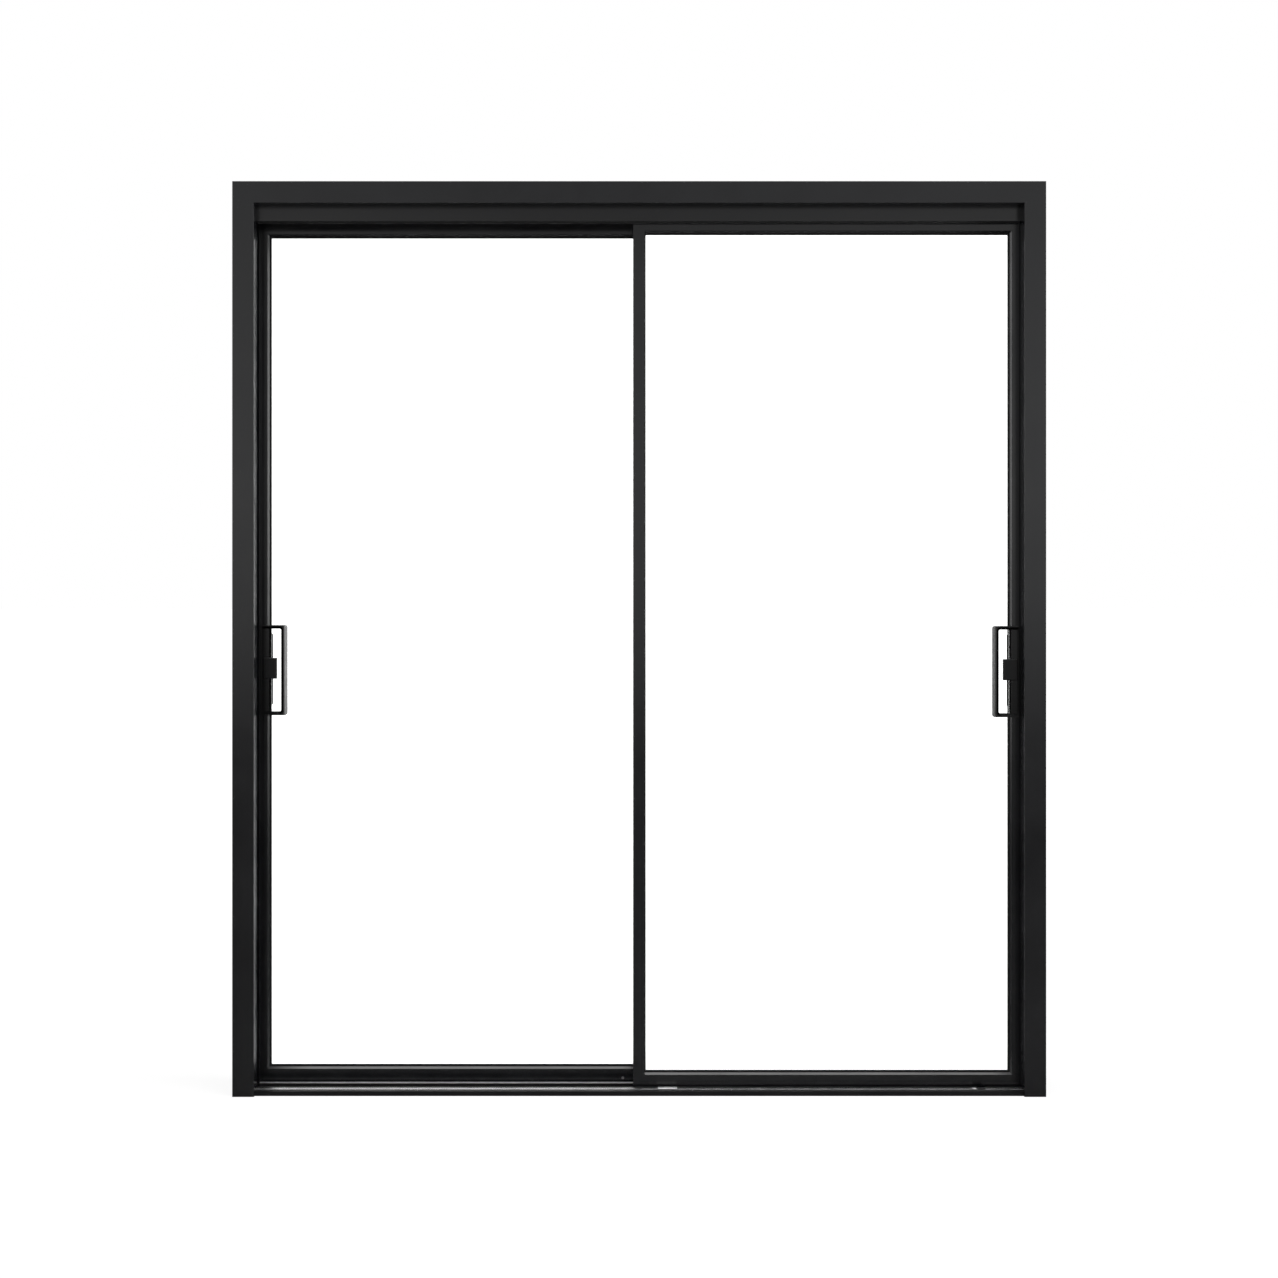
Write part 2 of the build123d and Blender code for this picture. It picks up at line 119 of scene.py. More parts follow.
class NodeSheet:
    """A node tree with short calls for the nodes that the world, floor and finishes share."""

    def __init__(self, tree: bpy.types.NodeTree, output: str) -> None:
        """Empty a tree and give it its output.

        Args:
            tree: the tree.
            output: type of the output node.
        """
        self.tree = tree
        self.tree.nodes.clear()
        self.output = self.node(output)

    def node(self, kind: str) -> bpy.types.Node:
        """New node of a type."""
        return self.tree.nodes.new(kind)

    def link(self, source: Socket, target: Socket) -> None:
        """Join two sockets."""
        self.tree.links.new(source, target)

    def parts(self, vector: Socket) -> bpy.types.NodeOutputs:
        """Take a vector apart.

        Args:
            vector: the vector.

        Returns:
            Its parts, named X, Y and Z.
        """
        node = self.node("ShaderNodeSeparateXYZ")
        self.link(vector, node.inputs["Vector"])
        return node.outputs

    def figure(self, kind: Sum, first: Socket | float, second: Socket | float) -> Socket:
        """One sum.

        Args:
            kind: the kind of sum.
            first: a socket or a number.
            second: a socket or a number.

        Returns:
            The result.
        """
        node = self.node("ShaderNodeMath")
        node.operation = kind.value
        for value, target in zip((first, second), node.inputs):
            if isinstance(value, Socket):
                self.link(value, target)
            else:
                target.default_value = value
        return node.outputs["Value"]

    def spread(
        self, value: Socket, results: Pair, ends: Pair = NOISE_RANGE, eased: bool = False
    ) -> Socket:
        """Map a value onto a range, without going past it.

        Args:
            value: the value.
            results: what the two ends give.
            ends: the values at which the range starts and ends.
            eased: whether the range starts and ends softly.

        Returns:
            The mapped value.
        """
        node = self.node("ShaderNodeMapRange")
        if eased:
            node.interpolation_type = "SMOOTHSTEP"
        for name, number in zip(("From Min", "From Max", "To Min", "To Max"), (*ends, *results)):
            node.inputs[name].default_value = number
        self.link(value, node.inputs["Value"])
        return node.outputs["Result"]

    def masks(self) -> tuple[Socket, Socket]:
        """Tell apart the rays that are shown something other than the plain fill.

        Returns:
            1 for camera and transmission rays, and 1 for glossy rays.
        """
        rays = self.node("ShaderNodeLightPath").outputs
        direct = self.figure(Sum.LARGER, rays["Is Camera Ray"], rays["Is Transmission Ray"])
        return direct, rays["Is Glossy Ray"]


class ShaderSheet(NodeSheet):
    """The node tree of a material, with short calls for noise, colour and relief."""

    def __init__(self, name: str) -> None:
        """Make a material with an empty tree.

        Args:
            name: the material's name.
        """
        self.material = bpy.data.materials.new(name)
        self.material.use_nodes = True
        super().__init__(self.material.node_tree, "ShaderNodeOutputMaterial")
        self.place = self.node("ShaderNodeTexCoord").outputs["Object"]

    def stretched(self, scale: Triple) -> Socket:
        """Object coordinates scaled along each axis.

        Args:
            scale: factor along X, Y and Z.

        Returns:
            The scaled vector.
        """
        mapping = self.node("ShaderNodeMapping")
        mapping.inputs["Scale"].default_value = scale
        self.link(self.place, mapping.inputs["Vector"])
        return mapping.outputs["Vector"]

    def noise(self, grain: Grain) -> Socket:
        """Fractal noise on the object coordinates.

        Args:
            grain: the noise pattern.

        Returns:
            The noise value, around 0.5.
        """
        node = self.node("ShaderNodeTexNoise")
        node.inputs["Scale"].default_value = grain.scale
        node.inputs["Detail"].default_value = grain.detail
        node.inputs["Roughness"].default_value = grain.roughness
        place = self.stretched(grain.stretch) if grain.stretch else self.place
        self.link(place, node.inputs["Vector"])
        return node.outputs["Fac"]

    def blend(self, value: Socket, low: Colour, high: Colour) -> Socket:
        """Colour ramp between two colours.

        Args:
            value: position on the ramp.
            low: colour of the low values.
            high: colour of the high values.

        Returns:
            The colour.
        """
        node = self.node("ShaderNodeValToRGB")
        for stop, position, colour in zip(node.color_ramp.elements, TINT_RANGE, (low, high)):
            stop.position = position
            stop.color = (*colour, 1.0)
        self.link(value, node.inputs["Fac"])
        return node.outputs["Color"]

    def relief(
        self, height: Socket, depth: float, strength: float, under: Socket | None = None
    ) -> Socket:
        """Bump from a height.

        Args:
            height: height between 0 and 1.
            depth: height of the relief in metres.
            strength: share of the bump that shows.
            under: normal of a coarser relief below this one.

        Returns:
            The bent normal.
        """
        node = self.node("ShaderNodeBump")
        node.inputs["Distance"].default_value = depth
        node.inputs["Strength"].default_value = strength
        self.link(height, node.inputs["Height"])
        if under is not None:
            self.link(under, node.inputs["Normal"])
        return node.outputs["Normal"]

    def surface(self, **values: float) -> bpy.types.Node:
        """Principled shader joined to the output.

        Args:
            values: uniform values by socket name, with underscores for spaces.

        Returns:
            The shader node.
        """
        shader = self.node("ShaderNodeBsdfPrincipled")
        for name, value in values.items():
            shader.inputs[name.replace("_", " ")].default_value = value
        self.link(shader.outputs["BSDF"], self.output.inputs["Surface"])
        return shader

    def pattern(
        self, shader: bpy.types.Node, colour: Socket, roughness: Socket, normal: Socket
    ) -> None:
        """Let patterns set the colour, roughness and normal of a shader."""
        for name, source in (("Base Color", colour), ("Roughness", roughness), ("Normal", normal)):
            self.link(source, shader.inputs[name])


@dataclass(frozen=True)
class PowderCoat:
    """Satin black powder coat: near black, a fine orange peel and faint cloudy sheen.

    Its roughness follows the cloud, from smooth to rough, and the flecks are fleck_share as deep as
    the peel. With a side set for it, the coat is painted pale on bevels that lean towards the door's
    middle, partly as rubbed coat and partly as a painted highlight of the side lamp: more as the
    normal's X goes through the lean range, in patches that keep the least share of it, and up to the
    reach from X 0, where it fades over the fade width.
    """

    name: str = "satin_black_powder_coat"
    dark: Colour = (0.005, 0.0052, 0.0064)
    light: Colour = (0.0082, 0.0085, 0.01)
    smooth: float = 0.18
    rough: float = 0.25
    shine: float = 0.5
    cloud: Grain = Grain(9.0, 4.0)
    peel: Grain = Grain(750.0, 2.0)
    peel_depth: float = 0.03 * MM
    peel_strength: float = 0.5
    fleck: Grain = Grain(2600.0, 1.0)
    fleck_share: float = 1.0 / 3.0
    fleck_strength: float = 0.4
    # Painted highlight, partly rubbed coat: a pale tint on bevels facing the door's middle, where the
    # side lamp's sheen falls.
    wear_and_highlight_side: int = 0
    wear_and_highlight_reach: float = 0.0
    wear_and_highlight_fade: float = 1.5 * MM
    wear_and_highlight_colour: Colour = (0.2, 0.2, 0.2)
    wear_and_highlight_lean: Pair = (0.5, 0.66)
    wear_and_highlight_patches: Grain = Grain(160.0, 4.0)
    wear_and_highlight_least: float = 0.82

    def build(self) -> bpy.types.Material:
        """Make the material.

        Returns:
            The finished material.
        """
        sheet = ShaderSheet(self.name)
        shader = sheet.surface(Specular_IOR_Level=self.shine)
        cloud = sheet.noise(self.cloud)
        tint = sheet.blend(cloud, self.dark, self.light)
        if self.wear_and_highlight_side:
            tint = self.paint_wear_and_highlight(sheet, tint)
        coarse = sheet.relief(sheet.noise(self.peel), self.peel_depth, self.peel_strength)
        fleck_depth = self.peel_depth * self.fleck_share
        fine = sheet.relief(sheet.noise(self.fleck), fleck_depth, self.fleck_strength, coarse)
        sheet.pattern(shader, tint, sheet.spread(cloud, (self.smooth, self.rough)), fine)
        return sheet.material

    def paint_wear_and_highlight(self, sheet: ShaderSheet, tint: Socket) -> Socket:
        """Paint the outer bevel towards the door's middle pale, as rubbed coat and painted highlight.

        Args:
            sheet: the material's tree.
            tint: colour of the sound coat.

        Returns:
            The colour with the pale bevel, rubbed coat and painted highlight.
        """
        side = self.wear_and_highlight_side
        normal = sheet.node("ShaderNodeNewGeometry").outputs["Normal"]
        # Painted highlight, partly rubbed coat: pale where the normal leans to the door's middle, the
        # side the lamp lights.
        lean_ends = (-self.wear_and_highlight_lean[0] * side, -self.wear_and_highlight_lean[1] * side)
        lean = sheet.spread(sheet.parts(normal)["X"], (0.0, 1.0), lean_ends)
        reach_ends = (self.wear_and_highlight_reach * side, (self.wear_and_highlight_reach + self.wear_and_highlight_fade) * side)
        near = sheet.spread(sheet.parts(sheet.place)["X"], (1.0, 0.0), reach_ends)
        patch_factor = sheet.spread(sheet.noise(self.wear_and_highlight_patches), (self.wear_and_highlight_least, 1.0))
        mix = sheet.node("ShaderNodeMix")
        mix.data_type = "RGBA"
        whole = sheet.figure(Sum.MULTIPLY, lean, near)
        sheet.link(sheet.figure(Sum.MULTIPLY, whole, patch_factor), mix.inputs["Factor"])
        sheet.link(tint, mix.inputs["A"])
        mix.inputs["B"].default_value = (*self.wear_and_highlight_colour, 1.0)
        return mix.outputs["Result"]


@dataclass(frozen=True)
class RolledMetal:
    """Bare or clear anodised metal, scuffed in clouds, with fine rolling lines along the door."""

    name: str
    dark: Colour
    light: Colour
    smooth: float
    rough: float
    scuff: Grain = Grain(26.0, 5.0)
    lines: Grain = Grain(1.0, 3.0, stretch=(3.0, 1400.0, 1400.0))
    line_depth: float = 0.01 * MM
    line_strength: float = 0.4

    def build(self) -> bpy.types.Material:
        """Make the material.

        Returns:
            The finished material.
        """
        sheet = ShaderSheet(self.name)
        shader = sheet.surface(Metallic=1.0)
        lines = sheet.noise(self.lines)
        tint = sheet.blend(sheet.noise(self.scuff), self.dark, self.light)
        bump = sheet.relief(lines, self.line_depth, self.line_strength)
        sheet.pattern(shader, tint, sheet.spread(lines, (self.smooth, self.rough)), bump)
        return sheet.material


@dataclass(frozen=True)
class SealRubber:
    """Matt black gasket rubber with a chalky bloom."""

    name: str = "gasket_rubber"
    dark: Colour = (0.006, 0.006, 0.006)
    light: Colour = (0.014, 0.014, 0.014)
    smooth: float = 0.62
    rough: float = 0.8
    shine: float = 0.25
    bloom: Grain = Grain(60.0, 5.0, roughness=0.65)
    pores: Grain = Grain(1500.0, 2.0)
    pore_depth: float = 0.03 * MM
    pore_strength: float = 0.5

    def build(self) -> bpy.types.Material:
        """Make the material.

        Returns:
            The finished material.
        """
        sheet = ShaderSheet(self.name)
        shader = sheet.surface(Specular_IOR_Level=self.shine)
        bloom = sheet.noise(self.bloom)
        tint = sheet.blend(bloom, self.dark, self.light)
        bump = sheet.relief(sheet.noise(self.pores), self.pore_depth, self.pore_strength)
        sheet.pattern(shader, tint, sheet.spread(bloom, (self.smooth, self.rough)), bump)
        return sheet.material


@dataclass(frozen=True)
class GuideNylon:
    """Moulded black nylon with a soft sheen and polished rubbing marks along the door."""

    name: str = "guide_nylon"
    dark: Colour = (0.012, 0.012, 0.012)
    light: Colour = (0.022, 0.022, 0.023)
    smooth: float = 0.36
    rough: float = 0.55
    shine: float = 0.4
    marks: Grain = Grain(1.0, 3.0, stretch=(25.0, 300.0, 300.0))
    pores: Grain = Grain(1200.0, 2.0)
    pore_depth: float = 0.03 * MM
    pore_strength: float = 0.4

    def build(self) -> bpy.types.Material:
        """Make the material.

        Returns:
            The finished material.
        """
        sheet = ShaderSheet(self.name)
        shader = sheet.surface(Specular_IOR_Level=self.shine)
        marks = sheet.noise(self.marks)
        tint = sheet.blend(marks, self.dark, self.light)
        bump = sheet.relief(sheet.noise(self.pores), self.pore_depth, self.pore_strength)
        sheet.pattern(shader, tint, sheet.spread(marks, (self.smooth, self.rough)), bump)
        return sheet.material


@dataclass(frozen=True)
class PileFibre:
    """Dense black weatherstrip pile."""

    name: str = "pile_fibre"
    dark: Colour = (0.004, 0.004, 0.004)
    light: Colour = (0.02, 0.02, 0.02)
    smooth: float = 0.8
    rough: float = 0.95
    shine: float = 0.15
    fuzz: float = 0.25
    fuzz_roughness: float = 0.6
    fibres: Grain = Grain(2400.0, 2.0)
    fibre_depth: float = 0.3 * MM
    fibre_strength: float = 0.9

    def build(self) -> bpy.types.Material:
        """Make the material.

        Returns:
            The finished material.
        """
        sheet = ShaderSheet(self.name)
        shader = sheet.surface(
            Specular_IOR_Level=self.shine, Sheen_Weight=self.fuzz, Sheen_Roughness=self.fuzz_roughness
        )
        fibres = sheet.noise(self.fibres)
        tint = sheet.blend(fibres, self.dark, self.light)
        bump = sheet.relief(fibres, self.fibre_depth, self.fibre_strength)
        sheet.pattern(shader, tint, sheet.spread(fibres, (self.smooth, self.rough)), bump)
        return sheet.material


@dataclass(frozen=True)
class ClearGlass:
    """Clear float glass with a trace of dust.

    To shadow rays it is a plain clear pane, so daylight comes through to the floor.
    """

    name: str = "clear_float_glass"
    tint: Colour = (0.985, 0.995, 0.99)
    shadow_tint: Colour = (0.93, 0.95, 0.94)
    shine: float = 0.3
    refraction: float = 1.45
    dust: Grain = Grain(35.0, 6.0, roughness=0.7)
    dust_range: Pair = (0.5, 0.75)
    haze: Pair = (0.0, 0.004)

    def build(self) -> bpy.types.Material:
        """Make the material.

        Returns:
            The finished material.
        """
        sheet = ShaderSheet(self.name)
        shader = sheet.surface(
            Transmission_Weight=1.0, IOR=self.refraction, Specular_IOR_Level=self.shine
        )
        shader.inputs["Base Color"].default_value = (*self.tint, 1.0)
        haze = sheet.spread(sheet.noise(self.dust), self.haze, self.dust_range)
        sheet.link(haze, shader.inputs["Roughness"])
        pane = sheet.node("ShaderNodeBsdfTransparent")
        pane.inputs["Color"].default_value = (*self.shadow_tint, 1.0)
        rays = sheet.node("ShaderNodeLightPath")
        either = sheet.node("ShaderNodeMixShader")
        sheet.link(rays.outputs["Is Shadow Ray"], either.inputs["Fac"])
        sheet.link(shader.outputs["BSDF"], either.inputs[1])
        sheet.link(pane.outputs["BSDF"], either.inputs[2])
        sheet.link(either.outputs["Shader"], sheet.output.inputs["Surface"])
        return sheet.material


@dataclass(frozen=True)
class Finishes:
    """The materials of the whole door, each made once."""

    coat: bpy.types.Material
    sill: bpy.types.Material
    handles: dict[Hand, bpy.types.Material]
    latch: bpy.types.Material
    front_tread: bpy.types.Material
    middle_tread: bpy.types.Material
    steel: bpy.types.Material
    rubber: bpy.types.Material
    nylon: bpy.types.Material
    pile: bpy.types.Material
    glass: bpy.types.Material

    @classmethod
    def make(cls) -> "Finishes":
        """Make every material.

        Returns:
            The whole set.
        """
        return cls(
            coat=PowderCoat().build(),
            sill=PowderCoat(
                "sill_coat",
                dark=(0.011, 0.011, 0.0115),
                light=(0.016, 0.016, 0.0165),
                smooth=0.42,
                rough=0.56,
                shine=0.16,
            ).build(),
            handles={hand: cls.handle_coat(hand).build() for hand in Hand},
            latch=PowderCoat(
                "latch_coat",
                dark=(0.003, 0.003, 0.0033),
                light=(0.005, 0.005, 0.0054),
                smooth=0.3,
                rough=0.4,
                shine=0.3,
                peel_depth=0.01 * MM,
            ).build(),
            front_tread=RolledMetal(
                "worn_front_tread",
                dark=(0.6, 0.6, 0.61),
                light=(0.76, 0.76, 0.77),
                smooth=0.24,
                rough=0.34,
            ).build(),
            middle_tread=RolledMetal(
                "middle_tread",
                dark=(0.84, 0.84, 0.85),
                light=(0.96, 0.96, 0.97),
                smooth=0.4,
                rough=0.5,
            ).build(),
            steel=RolledMetal(
                "rolled_steel",
                dark=(0.28, 0.28, 0.29),
                light=(0.5, 0.5, 0.51),
                smooth=0.25,
                rough=0.42,
            ).build(),
            rubber=SealRubber().build(),
            nylon=GuideNylon().build(),
            pile=PileFibre().build(),
            glass=ClearGlass().build(),
        )

    @staticmethod
    def handle_coat(hand: Hand) -> PowderCoat:
        """Semi-gloss coat of a handle, painted pale along the bar's edge as rubbed coat and painted
        highlight.

        Args:
            hand: the panel that the handle is on.

        Returns:
            The coat, with its pale rubbed coat and painted highlight where this handle's bar is.
        """
        wear_and_highlight_width = 3.8 * MM
        bar_edge = min(abs(corner.x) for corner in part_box(hand.node("handle")))
        # Pale band on the bar's edge: painted highlight, partly rubbed coat.
        return PowderCoat(
            hand.node("handle_coat"),
            dark=(0.003, 0.003, 0.0033),
            light=(0.0048, 0.0048, 0.0052),
            smooth=0.14,
            rough=0.2,
            shine=0.28,
            peel_depth=0.01 * MM,
            wear_and_highlight_side=hand.side,
            wear_and_highlight_reach=bar_edge + wear_and_highlight_width,
        )


def stand(name: str, data: bpy.types.ID) -> bpy.types.Object:
    """Put a new object into the scene.

    Args:
        name: the object's name.
        data: its mesh, lamp or camera.

    Returns:
        The object.
    """
    thing = bpy.data.objects.new(name, data)
    bpy.context.scene.collection.objects.link(thing)
    return thing


def dress(node: str, material: bpy.types.Material, edge: float = 0.0) -> None:
    """Give a CAD node its material and, if asked, softened edges.

    Args:
        node: the CAD node's name.
        material: the finish.
        edge: width of the softened edges in metres.
    """
    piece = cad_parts[node]
    piece.data.materials.clear()
    piece.data.materials.append(material)
    if edge:
        bevel = piece.modifiers.new("soft_edges", "BEVEL")
        bevel.width = edge
        bevel.segments = EDGE_ROWS
        bevel.limit_method = "ANGLE"
        bevel.angle_limit = EDGE_ANGLE


def carry(
    name: str, mesh: bmesh.types.BMesh, body: str, material: bpy.types.Material
) -> None:
    """Turn a mesh into a piece that moves with a body.

    Args:
        name: the piece's name.
        mesh: its geometry in the row frame.
        body: the CAD body that it rides on.
        material: the finish.
    """
    bmesh.ops.recalc_face_normals(mesh, faces=mesh.faces)
    data = bpy.data.meshes.new(name)
    mesh.to_mesh(data)
    mesh.free()
    data.materials.append(material)
    piece = stand(name, data)
    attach(piece, body)


def join_rings(mesh: bmesh.types.BMesh, rings: list[list[bmesh.types.BMVert]]) -> None:
    """Join each ring of points to the next with a closed band of faces.

    Args:
        mesh: the mesh that holds the points.
        rings: rings with the same number of points, in order.
    """
    for first, second in zip(rings, rings[1:]):
        for index in range(len(first)):
            after = (index + 1) % len(first)
            mesh.faces.new((first[index], first[after], second[after], second[index]))


@dataclass(frozen=True)
class PileSeal:
    """A strip of weatherstrip pile: a flat backing and a fringe with a ragged crest.

    Foot and crest are half widths of the fringe, and sway is how far its crest wanders sideways,
    all as shares of the strip's width. Ragged is the share of the reach by which the crest varies.
    """

    width: float = 5.0 * MM
    backing: float = 0.8 * MM
    reach: float = 4.0 * MM
    pitch: float = 14.0 * MM
    foot: float = 0.3
    crest: float = 0.2
    ragged: float = 0.12
    sway: float = 0.08
    seed: int = 7

    def build(self, mesh: bmesh.types.BMesh, start: Vector, end: Vector, out: Vector) -> None:
        """Add one strip to a mesh.

        Args:
            mesh: the mesh that takes the strip.
            start: middle of the backing at one end.
            end: middle of the backing at the other end.
            out: unit vector from the backing to the crest.
        """
        along = (end - start).normalized()
        across = along.cross(out)
        count = max(2, round((end - start).length / self.pitch))
        side = 0.5 * self.width
        foot = self.foot * self.width
        crest = self.crest * self.width
        rng = random.Random(self.seed)
        rings = []
        for step in range(count + 1):
            point = start.lerp(end, step / count)
            top = self.reach * (1.0 - self.ragged * rng.random())
            lean = self.width * self.sway * (rng.random() - 0.5)
            profile = (
                (-side, 0.0),
                (-side, self.backing),
                (-foot, self.backing),
                (-crest + lean, top),
                (crest + lean, top),
                (foot, self.backing),
                (side, self.backing),
                (side, 0.0),
            )
            rings.append([mesh.verts.new(point + across * a + out * b) for a, b in profile])
        join_rings(mesh, rings)
        mesh.faces.new(rings[0])
        mesh.faces.new(list(reversed(rings[-1])))


@dataclass(frozen=True)
class ScrewHead:
    """A countersunk screw head with a drive recess, set flush in a face.

    Rim, flat and the reaches of the recess are shares of the head's radius. The heights and the
    recess are shares of what the head stands proud, and narrow_floor is a share of the mouth.
    """

    radius: float = 3.6 * MM
    proud: float = 0.25 * MM
    drive: Drive = Drive.CROSS
    sides: int = 24
    rim: float = 0.97
    rim_height: float = 0.7
    flat: float = 0.86
    mouth_height: float = 0.95
    recess: float = 0.8
    narrow_floor: float = 0.7
    lobe_reach: float = 0.58
    web_reach: float = 0.2
    lobe_cosine: float = 0.8
    socket_reach: float = 0.5

    def reach(self, angle: float) -> float:
        """How far the mouth of the recess is from the middle.

        Args:
            angle: direction in radians.

        Returns:
            The distance in metres.
        """
        if self.drive is Drive.SOCKET:
            return self.radius * self.socket_reach
        lobe = abs(math.cos(2 * angle)) > self.lobe_cosine
        return self.radius * (self.lobe_reach if lobe else self.web_reach)

    def profile(self, angle: float) -> tuple[Pair, ...]:
        """Section of the head from its foot to the floor of the recess.

        Args:
            angle: direction of the section in radians.

        Returns:
            Radius and height of each ring.
        """
        reach = self.reach(angle)
        mouth = self.proud * self.mouth_height
        return (
            (self.radius, 0.0),
            (self.radius * self.rim, self.proud * self.rim_height),
            (self.radius * self.flat, self.proud),
            (reach, mouth),
            (reach * self.narrow_floor, mouth - self.proud * self.recess),
        )

    def build(self, mesh: bmesh.types.BMesh, centre: Vector, out: Vector, turn: float) -> None:
        """Add one head to a mesh.

        Args:
            mesh: the mesh that takes the head.
            centre: middle of the head on the face.
            out: unit vector away from the face.
            turn: turn of the recess in radians.
        """
        basis = out.to_track_quat("Z", "Y").to_matrix().to_4x4()
        place = Matrix.Translation(centre) @ basis @ Matrix.Rotation(turn, 4, "Z")
        angles = [2 * math.pi * index / self.sides for index in range(self.sides)]
        rings = []
        for level in zip(*(self.profile(angle) for angle in angles)):
            ring = []
            for angle, (radius, height) in zip(angles, level):
                local = Vector((radius * math.cos(angle), radius * math.sin(angle), height))
                ring.append(mesh.verts.new(place @ local))
            rings.append(ring)
        join_rings(mesh, rings)
        mesh.faces.new(rings[-1])


@dataclass(frozen=True)
class TreadStop:
    """A low moulding across a tread, with ramped ends and a rounded front.

    Chin, shoulder and heel each give a share of the height and a share of the end ramp. The
    shoulder_depth is a share of the nosing, and the sink is how deep the moulding stands in.
    """

    height: float = 2.0 * MM
    ramp: float = 2.6 * MM
    nosing: float = 1.2 * MM
    overhang: float = 0.0
    sink: float = 0.4 * MM
    chin: Pair = (0.35, 0.5)
    shoulder: Pair = (0.8, 0.85)
    shoulder_depth: float = 0.4
    heel: Pair = (0.5, 0.6)

    def build(
        self, mesh: bmesh.types.BMesh, ends: Pair, front: float, back: float, base: float
    ) -> None:
        """Add the moulding to a mesh.

        Args:
            mesh: the mesh that takes the moulding.
            ends: its left and right ends.
            front: depth of its front edge on the tread.
            back: depth of its back edge.
            base: height of the tread under it.
        """
        left, right = ends
        lead = front - self.overhang
        chin, chin_ramp = self.chin
        shoulder, shoulder_ramp = self.shoulder
        heel, heel_ramp = self.heel
        rows = (
            (lead, -self.sink, 0.0),
            (lead, self.height * chin, chin_ramp),
            (lead + self.nosing * self.shoulder_depth, self.height * shoulder, shoulder_ramp),
            (lead + self.nosing, self.height, 1.0),
            (back - self.nosing, self.height, 1.0),
            (back, self.height * heel, heel_ramp),
            (back, -self.sink, 0.0),
        )
        rings = []
        for y, rise, draw in rows:
            inset = self.ramp * draw
            z = base + rise
            rings.append([mesh.verts.new((left + inset, y, z)), mesh.verts.new((right - inset, y, z))])
        for first, second in zip(rings, rings[1:]):
            mesh.faces.new((first[0], first[1], second[1], second[0]))
        mesh.faces.new((rings[0][0], rings[-1][0], rings[-1][1], rings[0][1]))
        mesh.faces.new([ring[0] for ring in rings])
        mesh.faces.new([ring[1] for ring in reversed(rings)])


